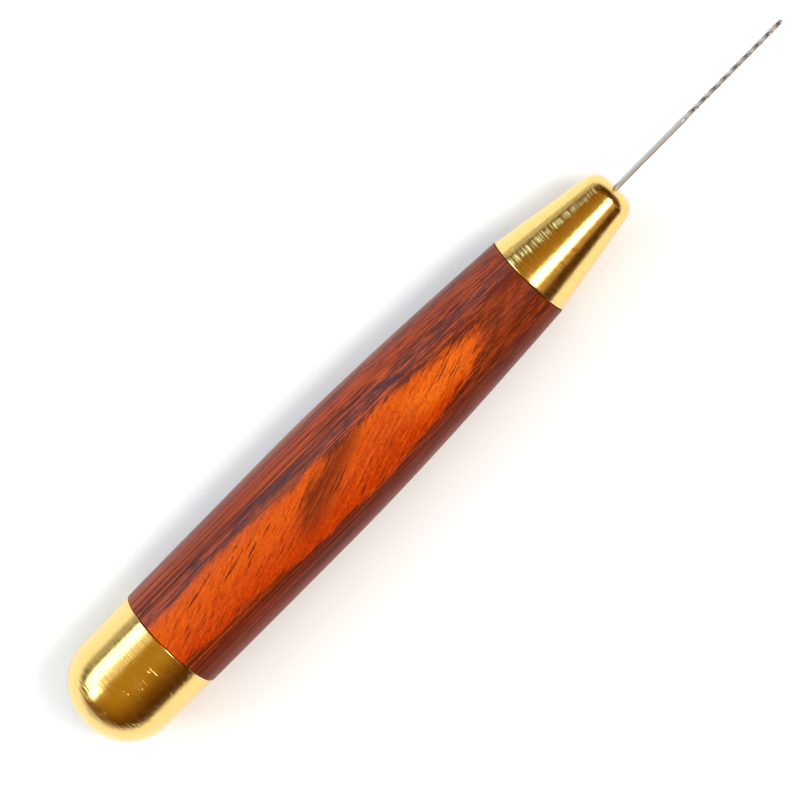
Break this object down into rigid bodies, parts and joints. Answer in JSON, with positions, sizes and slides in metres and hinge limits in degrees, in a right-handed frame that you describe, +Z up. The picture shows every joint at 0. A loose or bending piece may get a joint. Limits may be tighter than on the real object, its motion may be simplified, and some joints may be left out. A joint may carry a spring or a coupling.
{
  "type": "pricking awl",
  "caption": "Hand pricker with a fine fluted bit in a smooth brass collet nose, on a slim turned hardwood handle with a domed brass butt cap.",
  "frame": {"origin": "centre of the bounding box's underside: under the middle of the tool's length, on the surface it lies on", "axes": "+X along the tool's axis towards the bit's tip, +Z up, with the axis level at the belly's radius above the surface"},
  "size_m": [0.1586, 0.0194, 0.0194],
  "materials": {
    "rosewood": "figured red-brown hardwood with dark stripes, oiled and buffed to a soft shine",
    "tube_brass": "drawn tube, scuffed for glue",
    "cap_brass": "turned and polished, with fine turning rings",
    "bush_brass": "as turned",
    "stud_steel": "bright threaded rod",
    "chuck_brass": "as turned",
    "spring_steel": "ground spring steel",
    "nose_brass": "turned and polished, with fine turning rings",
    "bit_steel": "bright ground steel"
  },
  "bodies": {
    "handle": {"wood_handle": "rosewood", "liner_tube": "tube_brass", "butt_cap": "cap_brass", "rear_bush": "bush_brass", "cap_stud": "stud_steel", "chuck_body": "chuck_brass"},
    "collet": {"collet": "spring_steel"},
    "nose": {"nose_cone": "nose_brass"},
    "bit": {"twist_bit": "bit_steel"}
  },
  "joints": [
    {"name": "collet_travel", "type": "slide", "parent": "handle", "child": "collet", "axis": [1, 0, 0], "range_m": [0, 0.006]},
    {"name": "nose_turn", "type": "hinge", "parent": "collet", "child": "nose", "pos_m": [0.0322, 0, 0.0097], "axis": [1, 0, 0], "range_deg": [0, 2160]},
    {"name": "bit_slide", "type": "slide", "parent": "collet", "child": "bit", "axis": [1, 0, 0], "range_m": [-0.012, 0.012]}
  ],
  "couplings": [
    {"joint": "collet_travel", "follows": "nose_turn", "m_per_rad": 0.00015915}
  ]
}
